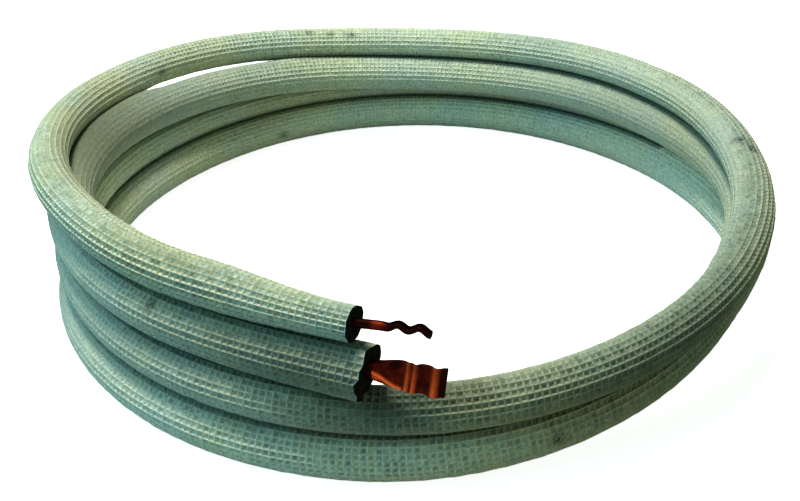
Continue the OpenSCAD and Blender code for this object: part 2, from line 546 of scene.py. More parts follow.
@dataclass(frozen=True)
class FoamFinish:
    """Pale embossed foam skin with dirt and painted shade in its pits, painted light and shade in patches and
    creases, and dark smudges.

    A mask gives the values between which an effect rises from none to full.
    """

    name: str = "embossed_foam"
    cool: Colour = (0.53, 0.61, 0.52, 1.0)
    warm: Colour = (0.60, 0.64, 0.46, 1.0)
    # Colour of dirt and painted shade at the bottom of the pits.
    pit_dirt_and_shade: Colour = (0.15, 0.20, 0.18, 1.0)
    smudge: Colour = (0.03, 0.035, 0.025, 1.0)
    # Tint of the painted light and shade: in painted shade the red falls a little faster.
    shade_tint: tuple[float, float, float] = (1.07, 1.0, 1.02)
    patch_scale: float = 9.0
    grain_scale: float = 420.0
    warm_mask: Range = (0.38, 0.62)
    grain_mask: Range = (0.3, 0.7)
    grain_tone: Range = (0.72, 1.16)
    pit_dirt_and_shade_mask: Range = (0.45, 1.0)
    pit_dirt_and_shade_cover: Range = (0.0, 0.72)
    smudge_mask: Range = (0.35, 0.6)
    roughness: Range = (0.62, 0.82)
    specular: float = 0.12
    bite: Range = (0.25, 0.0004)

    def material(self) -> bpy.types.Material:
        """Build the material from its nodes.

        Returns:
            The skin's material, which reads the pits, dirt and painted light and shade that are kept on the
            mesh.
        """
        made, kit, shader = blank_finish(self.name)
        mottle = kit.mottle(self.patch_scale, self.grain_scale)
        grain = mottle.outputs["Grain"]
        skin = kit.mix(kit.span(mottle.outputs["Patch"], self.warm_mask), self.cool, self.warm)
        # Painted light and shade: the attribute scales the skin's colour up where light falls and down where
        # shade lies.
        lit_and_shaded = kit.vector("ADD", kit.scaled(self.shade_tint, kit.attribute(LIGHT_AND_SHADE)), (1.0, 1.0, 1.0))
        grained = kit.span(grain, self.grain_mask, self.grain_tone)
        shaded = kit.scaled(kit.vector("MULTIPLY", skin, lit_and_shaded), grained)
        # Dirt and painted shade darken the deep part of each pit.
        pit_dirt_and_shade_share = kit.span(kit.attribute(PIT), self.pit_dirt_and_shade_mask, self.pit_dirt_and_shade_cover)
        with_pit_dirt_and_shade = kit.mix(pit_dirt_and_shade_share, shaded, self.pit_dirt_and_shade)
        broken = kit.span(grain, self.smudge_mask)
        smudged = kit.math("MULTIPLY", kit.attribute(DIRT), broken, clamp=True)
        kit.feed(shader.inputs["Base Color"], kit.mix(smudged, with_pit_dirt_and_shade, self.smudge))
        kit.feed(shader.inputs["Roughness"], kit.span(grain, self.grain_mask, self.roughness))
        kit.roughen(shader, grain, self.bite)
        shader.inputs["Specular IOR Level"].default_value = self.specular
        return made


@dataclass(frozen=True)
class CutFoamFinish:
    """Open cells of the cut foam, near black with painted shade."""

    name: str = "cut_foam_painted_shade"
    # Near-black cells and walls: painted shade on the cut ends and bore.
    cell: Colour = (0.004, 0.004, 0.003, 1.0)
    wall: Colour = (0.02, 0.021, 0.016, 1.0)
    patch_scale: float = 60.0
    grain_scale: float = 900.0
    wall_mask: Range = (0.2, 0.7)
    roughness: float = 0.95
    specular: float = 0.0
    bite: Range = (0.6, 0.0006)

    def material(self) -> bpy.types.Material:
        """Build the material from its nodes.

        Returns:
            The cut ends' material.
        """
        made, kit, shader = blank_finish(self.name)
        speck = kit.mottle(self.patch_scale, self.grain_scale).outputs["Speck"]
        kit.feed(shader.inputs["Base Color"], kit.mix(kit.span(speck, self.wall_mask), self.cell, self.wall))
        kit.roughen(shader, speck, self.bite)
        shader.inputs["Roughness"].default_value = self.roughness
        shader.inputs["Specular IOR Level"].default_value = self.specular
        return made


@dataclass(frozen=True)
class CopperFinish:
    """Bare copper, dark with tarnish, bright with rubbed wear and painted highlights, and darker still with
    painted shade.
    """

    name: str = "tarnished_copper"
    tarnish: Colour = (0.06, 0.006, 0.003, 1.0)
    oxide: Colour = (0.008, 0.002, 0.0015, 1.0)
    # Colour of rubbed wear and painted highlights.
    highlight_and_wear: Colour = (0.62, 0.10, 0.022, 1.0)
    edge: Colour = (0.1, 0.05, 0.04, 1.0)
    patch_scale: float = 120.0
    grain_scale: float = 700.0
    tarnish_mask: Range = (0.35, 0.65)
    wear_and_light_mask: Range = (0.25, 0.6)
    wear_and_light_cover: Range = (0.55, 1.0)
    roughness: Range = (0.5, 0.3)
    bite: Range = (0.15, 0.0003)

    def material(self) -> bpy.types.Material:
        """Build the material from its nodes.

        Returns:
            The copper's material, which reads the wear and painted light that are kept on the mesh; below 0
            it is painted shade and a darker tip.
        """
        made, kit, shader = blank_finish(self.name)
        mottle = kit.mottle(self.patch_scale, self.grain_scale)
        # Below 0 the attribute adds painted shade and the darker tip to the tarnish.
        tarnish_and_shade = kit.math("ADD", mottle.outputs["Patch"], kit.math("MINIMUM", kit.attribute(WEAR_AND_LIGHT), 0.0))
        dark = kit.mix(kit.span(tarnish_and_shade, self.tarnish_mask), self.oxide, self.tarnish)
        broken = kit.span(mottle.outputs["Grain"], self.wear_and_light_mask, self.wear_and_light_cover)
        # Above 0 it mixes in rubbed wear and painted highlights.
        rubbed_and_lit = kit.math("MULTIPLY", kit.attribute(WEAR_AND_LIGHT), broken, clamp=True)
        kit.feed(shader.inputs["Base Color"], kit.mix(rubbed_and_lit, dark, self.highlight_and_wear))
        kit.feed(shader.inputs["Roughness"], kit.span(rubbed_and_lit, (0.0, 1.0), self.roughness))
        kit.roughen(shader, mottle.outputs["Grain"], self.bite)
        shader.inputs["Metallic"].default_value = 1.0
        shader.inputs["Specular Tint"].default_value = self.edge
        return made


@dataclass
class RolledSheet:
    """A flat grid that is given a place on each of its vertices and then rolled into a tube."""

    columns: int
    rows: int
    width: float
    girth: float
    end_slack: float = 1e-4

    def flat(self, inset: float = 0.0, depth: float = 0.0) -> bpy.types.Mesh:
        """Make the flat grid, with a pit pressed into each cell.

        Args:
            inset: Width of a pit's walls seen from above, in millimetres.
            depth: Depth of the pits, in millimetres.

        Returns:
            The flat mesh: x along the tube, y round it, z above its skin.
        """
        bm = bmesh.new()
        bmesh.ops.create_grid(bm, x_segments=self.columns, y_segments=self.rows, size=0.5)
        bmesh.ops.translate(bm, verts=bm.verts, vec=(0.5, 0.5, 0.0))
        bmesh.ops.scale(bm, verts=bm.verts, vec=(self.width, self.girth, 1.0))
        if depth:
            bmesh.ops.inset_individual(bm, faces=bm.faces[:], thickness=inset, depth=-depth)
        mesh = bpy.data.meshes.new("sheet")
        bm.to_mesh(mesh)
        bm.free()
        return mesh

    def places(self, mesh: bpy.types.Mesh) -> tuple[Array, Array, Array]:
        """Read where a flat mesh's vertices lie.

        Args:
            mesh: The flat mesh.

        Returns:
            Each vertex's distance along, angle round in radians, and height.
        """
        flat = np.empty(len(mesh.vertices) * 3)
        mesh.vertices.foreach_get("co", flat)
        flat = flat.reshape(-1, 3)
        return flat[:, 0], (flat[:, 1] / self.girth - SEAM_TURN) * 2.0 * math.pi, flat[:, 2]

    def roll(self, mesh: bpy.types.Mesh, points: Array, marks: dict[str, Array]) -> bpy.types.Mesh:
        """Move the vertices to their places in space and mark them.

        Args:
            mesh: The flat mesh.
            points: Each vertex's place, in millimetres.
            marks: Values to keep on the vertices, by name.

        Returns:
            The same mesh, rolled.
        """
        along = self.places(mesh)[0]
        ends = np.select([along < self.end_slack, along > self.width - self.end_slack],
                         [SheetEnd.FRONT.value, SheetEnd.FAR.value], SheetEnd.NONE.value)
        mesh.vertices.foreach_set("co", (points * MM).ravel())
        mesh.attributes.new(END, "INT", "POINT").data.foreach_set("value", ends.astype(np.int32))
        for name, values in marks.items():
            mesh.attributes.new(name, "FLOAT", "POINT").data.foreach_set("value", values.astype(np.float32))
        return mesh


@dataclass
class HollowPiece:
    """A piece along a line, with an outer skin and a bore that are joined by rings at its cut ends."""

    name: str
    node: str
    slot: str
    route: Route

    def join(self, skin: bpy.types.Mesh, bore: bpy.types.Mesh, ring_cuts: int = 0) -> bmesh.types.BMesh:
        """Weld both sheets into tubes and close their ends.

        Args:
            skin: The rolled outer sheet.
            bore: The rolled inner sheet.
            ring_cuts: Cuts across each end ring, between skin and bore.

        Returns:
            One closed shell, its bore and front ring in the second material.
        """
        bm = bmesh.new()
        bm.from_mesh(bore)
        bmesh.ops.reverse_faces(bm, faces=bm.faces[:])
        for face in bm.faces:
            face.material_index = 1
        bm.from_mesh(skin)
        bmesh.ops.remove_doubles(bm, verts=[v for v in bm.verts if v.is_boundary], dist=WELD)
        end = bm.verts.layers.int[END]
        for which in (SheetEnd.FRONT, SheetEnd.FAR):
            rims = [e for e in bm.edges if e.is_boundary and all(v[end] == which.value for v in e.verts)]
            ring = bmesh.ops.bridge_loops(bm, edges=rims)["faces"]
            spokes = {e for f in ring for e in f.edges} - set(rims)
            for face in ring:
                face.material_index = 1 if which is SheetEnd.FRONT else 0
            if ring_cuts:
                bmesh.ops.subdivide_edges(bm, edges=list(spokes), cuts=ring_cuts)
        bmesh.ops.recalc_face_normals(bm, faces=bm.faces[:])
        for mesh in (skin, bore):
            bpy.data.meshes.remove(mesh)
        return bm

    def place(self, bm: bmesh.types.BMesh, finishes: list[bpy.types.Material],
              smooth: bool) -> bpy.types.Object:
        """Turn the shell into the piece that stands for its node.

        Args:
            bm: The closed shell.
            finishes: Its materials.
            smooth: Whether its faces are shaded smooth.

        Returns:
            The piece's object.
        """
        mesh = bpy.data.meshes.new(self.name)
        for face in bm.faces:
            face.smooth = smooth
        bm.to_mesh(mesh)
        bm.free()
        mesh.attributes.remove(mesh.attributes[END])
        for finish in finishes:
            mesh.materials.append(finish)
        piece = bpy.data.objects.new(self.name, mesh)
        bpy.context.scene.collection.objects.link(piece)
        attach(piece, "root")
        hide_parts(self.node)
        LOG.info("%s: %d faces", self.name, len(mesh.polygons))
        return piece


@dataclass(frozen=True)
class Patch:
    """A round patch on a sleeve.

    Its azimuth and its angle round the sleeve are in degrees, its half length and half girth in millimetres.
    """

    azimuth: float
    angle: float
    run: float
    girth: float
    strength: float


@dataclass(frozen=True)
class RimCut:
    """How far a sleeve's front rim stands out (above 0) at a few angles round it, in millimetres."""

    angles: tuple[float, ...]
    reach: tuple[float, ...]
    fade: float = 8.0
    ragged: float = 0.5
    coarse_teeth: float = 9.0
    fine_teeth: float = 17.0
    fine_share: float = 0.7
    start: float = 1.3

    def reach_at(self, along: Array, angle: Array) -> Array:
        """Follow the torn rim round the sleeve.

        Args:
            along: Each vertex's distance from the rim.
            angle: Each vertex's angle round the sleeve, in radians.

        Returns:
            The rim's reach on each vertex, fading away from the rim.
        """
        coarse = np.sin(self.coarse_teeth * angle + self.start)
        torn = self.ragged * (coarse + self.fine_share * np.sin(self.fine_teeth * angle))
        reach = np.interp(np.degrees(angle) % FULL_TURN, self.angles, self.reach)
        return (reach + torn) * bump(along, 0.0, self.fade)


@dataclass(frozen=True)
class Emboss:
    """The pits pressed into a sleeve's skin, in millimetres, and the shares of their depth that are lost."""

    cell: float = 4.9
    wall: float = 1.95
    depth: float = 2.3
    uneven: float = 0.35
    inner_loss: float = 0.3
    patchy_loss: float = 0.25
    patchy_run: float = 140.0
    least: float = 0.12


@dataclass(frozen=True)
class GapFill:
    """Foam that swells into the gap between the lines: shares of the gap, and its place in degrees."""

    share: float
    least: float = 0.25
    near: float = 122.5
    far: float = 149.0
    fade: float = 11.0
    spread: float = 48.0


@dataclass
class FoamSleeve(HollowPiece):
    """An embossed foam sleeve round one tube."""

    rim: RimCut
    gap_fill: GapFill
    rows: int = 22
    seed: int = 3
    emboss: Emboss = Emboss()
    press: float = 0.4
    jitter: float = 0.11
    far_slant: float = 0.0
    # Patches of painted light and shade: above 0 painted light, below 0 painted shade.
    light_and_shade_patches: tuple[Patch, ...] = ()
    smudges: tuple[Patch, ...] = ()
    worn: tuple[Patch, ...] = ()
    light_and_shade_limits: Range = (-0.7, 0.5)
    # Painted shade in the creases between lines: how wide it reaches, and how dark it is at the bottom.
    crease_width: float = 9.0
    crease_shade: float = 0.75
    bore_columns: int = 160
    ring_cuts: int = 3

    def patched(self, patches: tuple[Patch, ...], along: Array, angle: Array) -> Array:
        """Add up round patches.

        Args:
            patches: The patches, placed by azimuth and angle.
            along: Each vertex's distance along the line.
            angle: Each vertex's angle round the sleeve, in radians.

        Returns:
            The patches' summed strength on each vertex.
        """
        total = np.zeros_like(along)
        radius = self.route.lay.full_radius(self.route.line)
        for patch in patches:
            run = (along - np.interp(patch.azimuth, self.route.azimuth, self.route.measure)) / patch.run
            turn = wrapped(angle - math.radians(patch.angle)) * radius / patch.girth
            total += patch.strength * bump(np.hypot(run, turn), 0.0, 1.0)
        return total

    def relief(self, along: Array, angle: Array, points: Array) -> Array:
        """Find how deep the emboss is pressed: shallow where the bend closes it up or wear took it.

        Args:
            along: Each vertex's distance along the line.
            angle: Each vertex's angle round the sleeve, in radians.
            points: The vertices.

        Returns:
            The share of the full depth on each vertex.
        """
        uneven = np.clip(0.5 + 0.5 * waves(points, self.emboss.patchy_run, self.seed), 0.0, 1.0)
        lost = self.emboss.inner_loss * inner_share(angle) ** 2 + self.emboss.patchy_loss * uneven
        return np.clip(1.0 - (lost + self.patched(self.worn, along, angle)), self.emboss.least, 1.0)

    def skin(self) -> bpy.types.Mesh:
        """Make the embossed outer sheet.

        Returns:
            The rolled sheet, marked with its pits, dirt and painted light and shade.
        """
        lay, line, length = self.route.lay, self.route.line, self.route.sleeve_length
        girth = 2.0 * math.pi * lay.full_radius(line)
        sheet = RolledSheet(round(length / self.emboss.cell), self.rows, length, girth)
        mesh = sheet.flat(self.emboss.wall, self.emboss.depth)
        run, angle, height = sheet.places(mesh)
        height = height * self.unevenness(sheet, run, angle)
        slant = self.far_slant * inner_share(angle) * bump(length - run, 0.0, self.rim.fade)
        along = run - self.route.lead - self.rim.reach_at(run, angle) + slant
        frames = self.route.frames(along)
        radius = lay.sleeve_radius(line, self.route.azimuth_at(along))
        radius = radius + self.press + self.swelling(along, angle)
        spot = frames.ring_points(radius * np.cos(angle), radius * np.sin(angle))
        depth = self.relief(along, angle, spot)
        radius = radius + height * depth + self.roughness(len(along))
        points = frames.ring_points(radius * np.cos(angle), radius * np.sin(angle))
        points[:, 2] = np.maximum(points[:, 2], 0.0)
        pit = -height / self.emboss.depth * depth
        dirt = np.clip(self.patched(self.smudges, along, angle), 0.0, 1.0)
        # Painted light and shade from the patches.
        painted_light_and_shade = np.clip(self.patched(self.light_and_shade_patches, along, angle), *self.light_and_shade_limits)
        # Painted shade darkens the creases between neighbouring lines.
        painted_light_and_shade = (1.0 + painted_light_and_shade) * (1.0 - self.crease_shade * self.crease(along, spot)) - 1.0
        return sheet.roll(mesh, points, {PIT: pit, DIRT: dirt, LIGHT_AND_SHADE: painted_light_and_shade})

    def crease(self, along: Array, points: Array) -> Array:
        """Find the creases between neighbouring lines, which painted shade darkens.

        Args:
            along: Each vertex's distance along the line.
            points: The vertices.

        Returns:
            How deep in a crease each vertex lies, from 0 to 1.
        """
        lay, azimuth = self.route.lay, self.route.azimuth_at(along)
        nearest = np.full_like(along, np.inf)
        for line, turn in itertools.product(Line, (-FULL_TURN, 0.0, FULL_TURN)):
            if line is self.route.line and turn == 0.0:
                continue
            at = azimuth + turn
            on_line = (at >= lay.front) & (at <= lay.last_azimuth(line))
            centre = lay.points(line, np.where(on_line, at, lay.front))
            gap = np.linalg.norm(points - centre, axis=1) - lay.sleeve_radius(line, at)
            nearest = np.where(on_line, np.minimum(nearest, gap), nearest)
        return 1.0 - ease(nearest / self.crease_width)

    def swelling(self, along: Array, angle: Array) -> Array:
        """Swell towards the other line where the gap between them closes at its two ends.

        Args:
            along: Each vertex's distance along the line.
            angle: Each vertex's angle round the sleeve, in radians.

        Returns:
            How far the skin stands out, in millimetres.
        """
        lay, fill, azimuth = self.route.lay, self.gap_fill, self.route.azimuth_at(along)
        closed = 1.0 - ease((azimuth - fill.near) / fill.fade)
        closed = np.maximum(closed + ease((azimuth - fill.far) / fill.fade), fill.least)
        towards = UP_ANGLE + lay.at_station(lay.thin_lean, azimuth)
        towards = towards + (HALF_TURN if self.route.line is Line.THIN else 0.0)
        turn = np.degrees(wrapped(angle - np.radians(towards)))
        return fill.share * lay.spring(azimuth) * closed * bump(turn, 0.0, fill.spread)

    def unevenness(self, sheet: RolledSheet, along: Array, angle: Array) -> Array:
        """Draw each pit's depth, once for each cell.

        Args:
            sheet: The sheet that the pits are pressed into.
            along: Each vertex's distance along the sheet.
            angle: Each vertex's angle round it, in radians.

        Returns:
            The share of the full depth on each vertex.
        """
        draw = np.random.default_rng(self.seed)
        share = draw.uniform(1.0 - self.emboss.uneven, 1.0, (sheet.columns, sheet.rows))
        column = np.clip((along / sheet.width * sheet.columns).astype(int), 0, sheet.columns - 1)
        row = ((angle / (2.0 * math.pi) + SEAM_TURN) * sheet.rows).astype(int) % sheet.rows
        return share[column, row]

    def roughness(self, count: int) -> Array:
        """Return a small uneven rise of each vertex, in millimetres."""
        return np.random.default_rng(self.seed + 1).normal(0.0, self.jitter, count)

    def bore(self) -> bpy.types.Mesh:
        """Make the plain sheet of the bore.

        Returns:
            The rolled sheet, with the skin's marks at 0.
        """
        radius = self.route.tube_r + self.route.lay.bore_room
        sheet = RolledSheet(self.bore_columns, self.rows, self.route.sleeve_length, 2.0 * math.pi * radius)
        mesh = sheet.flat()
        along, angle, _ = sheet.places(mesh)
        frames = self.route.frames(along - self.route.lead, self.route.rise)
        points = frames.ring_points(radius * np.cos(angle), radius * np.sin(angle))
        return sheet.roll(mesh, points, {name: np.zeros_like(along) for name in (PIT, DIRT, LIGHT_AND_SHADE)})

    def build(self, finishes: list[bpy.types.Material]) -> bpy.types.Object:
        """Build and dress the sleeve; finishes are the skin's material and the painted-shade material of the
        cut front end and the bore.
        """
        piece = self.place(self.join(self.skin(), self.bore(), self.ring_cuts), finishes, smooth=False)
        return piece


@dataclass(frozen=True)
class Crimp:
    """A ridge across a pinched end: distance from the tip, height, half width and slip, in millimetres."""

    at: float
    height: float
    width: float
    slip: float


@dataclass(frozen=True)
class WearAndLight:
    """Where a bare end is bright with rubbed wear and painted highlights, and where painted shade or a darker
    tip darkens it: strengths, and runs in millimetres.
    """

    # Rubbed wear and painted highlight along the fold.
    fold_wear_and_highlight: float = 0.9
    fold_out: float = 0.3
    fold_width: float = 1.1
    fold_blend: float = 4.0
    # Rubbed wear and painted highlight on the ridges.
    crimp: float = 0.6
    crimp_fade: float = 0.25
    crimp_shift: float = 0.3
    crimp_spread: float = 0.7
    # Painted highlight along the round tube.
    streak_highlight: float = 0.3
    streak_angle: float = 2.4
    streak_width: float = 0.5
    streak_blend: float = 6.0
    # Painted shade over the pinch.
    pinch_shade: float = 0.0
    # Darker at the very tip.
    tip_darkening: float = 0.0
    tip_run: float = 2.0
    tip_blend: float = 3.0
    # Painted shadow on the copper near the mouth of the sleeve.
    mouth_shadow_run: float = 9.0
    mouth_shadow_blend: float = 0.6


@dataclass
class CopperTube(HollowPiece):
    """A copper tube: round along the coil, pinched flat at its bare front end.

    Stations are distances from the mouth of its sleeve, below 0 on the bare end.
    """

    wall: float = 0.8
    bare: float = 50.0
    far_bare: float = 14.0
    turn: float = 8.0
    roll: float = -10.0
    pinch: float = 28.0
    taper: float = 6.0
    flat_half: float = 0.95
    wave_at: tuple[float, ...] = (0.0, 28.0)
    wave_rise: tuple[float, ...] = (0.0, 0.0)
    wave_fade: float = 3.0
    crimps: tuple[Crimp, ...] = ()
    slip_spread: float = 1.7
    wear_and_light_marks: WearAndLight = WearAndLight()
    probe: float = 0.25
    sides: int = 40
    pinch_rings: int = 90
    mouth_rings: int = 6
    ring_step: float = 12.0

    def stations(self) -> Array:
        """Space the rings along the tube, close together on the pinch.

        Returns:
            The rings' stations.
        """
        end = np.linspace(-self.bare, -self.bare + self.pinch + self.taper, self.pinch_rings)
        mouth = np.linspace(end[-1], 0.0, self.mouth_rings)[1:]
        body = np.arange(self.ring_step, self.route.sleeve_length, self.ring_step)
        return np.concatenate([end, mouth, body, [self.route.sleeve_length + self.far_bare]])

    def flatness(self, station: Array) -> Array:
        """Return 1 on the flat pinch, falling to 0 on the round tube."""
        return 1.0 - ease((station + self.bare - self.pinch) / self.taper)

    def section(self, half: Array, turn: Array) -> tuple[Array, Array]:
        """Follow the outline of a tube pressed between two plates, which keeps its girth.

        Args:
            half: Half the height between the plates.
            turn: Share of the way round, from 0 to 1.

        Returns:
            Distances across and above the centre.
        """
        straight = math.pi * (self.route.tube_r - half)
        bend = math.pi * half
        gone = (turn % 1.0) * 2.0 * math.pi * self.route.tube_r - 0.5 * straight
        way = gone % (straight + bend)
        flip = np.where(gone % (2.0 * (straight + bend)) < straight + bend, 1.0, -1.0)
        curved = way < bend
        angle = np.where(curved, way / half, 0.0)
        across = np.where(curved, 0.5 * straight + half * np.sin(angle), 0.5 * straight - (way - bend))
        above = np.where(curved, half * np.cos(angle), -half)
        return flip * across, flip * above

    def ring_offset(self, station: Array, flat: Array) -> Array:
        """Find how far the pinch's waves and crimps lift each ring off the tube's line.

        Args:
            station: The rings' stations.
            flat: How flat each ring is, from 0 to 1.

        Returns:
            The lifts in millimetres.
        """
        tip = station + self.bare
        part = np.interp(tip, self.wave_at, np.arange(len(self.wave_at)))
        i = np.clip(part.astype(int), 0, len(self.wave_at) - 2)
        rise = np.array(self.wave_rise)
        waved = rise[i] + (rise[i + 1] - rise[i]) * (0.5 - 0.5 * np.cos(math.pi * (part - i)))
        for crimp in self.crimps:
            waved = waved + crimp.height * bump(tip, crimp.at, crimp.width)
        return waved * np.clip(flat * self.wave_fade, 0.0, 1.0)

    def sheet(self, inward: float) -> bpy.types.Mesh:
        """Make one wall of the tube.

        Args:
            inward: How far the wall lies inside the outer one, in millimetres.

        Returns:
            The rolled sheet.
        """
        stations, tube_r = self.stations(), self.route.tube_r
        grid = RolledSheet(len(stations) - 1, self.sides, len(stations) - 1.0, 1.0)
        mesh = grid.flat()
        index, angle, _ = grid.places(mesh)
        station = np.interp(index, np.arange(len(stations)), stations)
        flat = self.flatness(station)
        half = tube_r + (self.flat_half - tube_r) * flat
        across, above = self.section(half, angle / (2.0 * math.pi) + SEAM_TURN)
        across, above = across * (1.0 - inward / tube_r), above * (1.0 - inward / half)
        wear_and_light = self.wear_and_light(station, across, above, half)
        for crimp in self.crimps:
            across = across - crimp.slip * bump(station + self.bare, crimp.at, self.slip_spread * crimp.width)
        body = self.route.frames(np.maximum(station, 0.0) - self.route.lead, self.route.rise)
        points = np.where((station < 0.0)[:, None], self.bare_points(station, flat, across, above),
                          body.rolled(self.roll).ring_points(across, above))
        return grid.roll(mesh, points, {WEAR_AND_LIGHT: wear_and_light})

    def bare_points(self, station: Array, flat: Array, across: Array, above: Array) -> Array:
        """Place rings on the bare end, which runs straight on from the mouth of the sleeve.

        Args:
            station: Each vertex's station.
            flat: How flat its ring is, from 0 to 1.
            across: Its distance across the ring.
            above: Its distance above the ring's centre.

        Returns:
            The vertices, on rings that lean with the waves.
        """
        rise = self.ring_offset(station + self.probe, flat) - self.ring_offset(station - self.probe, flat)
        slope = np.arctan(rise / (2.0 * self.probe))
        mouth = self.route.frames(np.full_like(station, -self.route.lead), self.route.rise)
        frames = mouth.turned_in(self.turn).rolled(self.roll)
        leaning = frames.shifted(station - above * np.sin(slope), self.ring_offset(station, flat))
        return leaning.ring_points(across, above * np.cos(slope))

    def wear_and_light(self, station: Array, across: Array, above: Array, half: Array) -> Array:
        """Find where the copper is bright with rubbed wear and painted highlights, and where painted shade
        darkens it.

        Args:
            station: Each vertex's station.
            across: Its distance across the ring.
            above: Its distance above the ring's centre.
            half: Half the height of its ring.

        Returns:
            The rubbed wear and painted highlights from 0 to 1, or painted shade and the darker tip below 0.
        """
        wear_light, tip, tube_r = self.wear_and_light_marks, station + self.bare, self.route.tube_r
        past = tip - self.pinch
        rubbed_and_lit = np.zeros_like(station)
        # Rubbed wear and painted highlights on the ridges.
        for crimp in self.crimps:
            fading = 1.0 - wear_light.crimp_fade - wear_light.crimp_fade * np.clip(across / tube_r, -1.0, 1.0)
            on_crimp = bump(tip, crimp.at + wear_light.crimp_shift * crimp.width, wear_light.crimp_spread * crimp.width)
            rubbed_and_lit = rubbed_and_lit + wear_light.crimp * fading * on_crimp
        # Rubbed wear and painted highlight along the fold.
        fold_at = 0.5 * math.pi * (tube_r - half) + wear_light.fold_out
        on_fold = bump(np.abs(across), fold_at, wear_light.fold_width) * (across < 0.0) * (above > 0.0)
        in_taper = ease((past + 0.5 * wear_light.fold_blend) / wear_light.fold_blend)
        in_taper = in_taper * (1.0 - ease((past - self.taper + wear_light.fold_blend) / wear_light.fold_blend))
        # Painted highlight streak along the round tube.
        streak_highlight = bump(np.arctan2(above, across), wear_light.streak_angle, wear_light.streak_width)
        streak_highlight = streak_highlight * ease((past - 0.5 * self.taper) / wear_light.streak_blend)
        # Painted shade over the pinch, and darker at the tip.
        rubbed_and_lit = rubbed_and_lit - wear_light.pinch_shade * (1.0 - ease(past / self.taper))
        rubbed_and_lit = rubbed_and_lit - wear_light.tip_darkening * (1.0 - ease((tip - wear_light.tip_run) / wear_light.tip_blend))
        rubbed_and_lit = rubbed_and_lit + wear_light.fold_wear_and_highlight * on_fold * in_taper + wear_light.streak_highlight * streak_highlight
        # Painted shadow near the mouth of the sleeve and inside it.
        mouth_shadow = ease((station + wear_light.mouth_shadow_run) / (wear_light.mouth_shadow_blend * wear_light.mouth_shadow_run))
        return np.clip(rubbed_and_lit * (1.0 - mouth_shadow) - mouth_shadow, -1.0, 1.0)

    def build(self, finish: bpy.types.Material) -> bpy.types.Object:
        """Build and dress the tube.

        Args:
            finish: The copper's material.

        Returns:
            The tube's object.
        """
        shell = self.join(self.sheet(0.0), self.sheet(self.wall))
        for face in shell.faces:
            face.material_index = 0
        return self.place(shell, [finish], smooth=True)


@dataclass(frozen=True)
class SoftBox:
    """A square lamp: where it stands, how large, strong and what colour, and what it points at."""

    name: str
    place: tuple[float, float, float]
    size: float
    power: float
    colour: tuple[float, float, float]
    target: tuple[float, float, float] = (0.0, 0.0, 0.06)

    def build(self) -> bpy.types.Object:
        """Add the lamp to the scene.

        Returns:
            The lamp's object.
        """
        data = bpy.data.lights.new(self.name, "AREA")
        data.size, data.energy, data.color = self.size, self.power, self.colour
        lamp = bpy.data.objects.new(self.name, data)
        lamp.location = self.place
        lamp.rotation_euler = (Vector(self.target) - Vector(self.place)).to_track_quat("-Z", "Y").to_euler()
        bpy.context.scene.collection.objects.link(lamp)
        return lamp


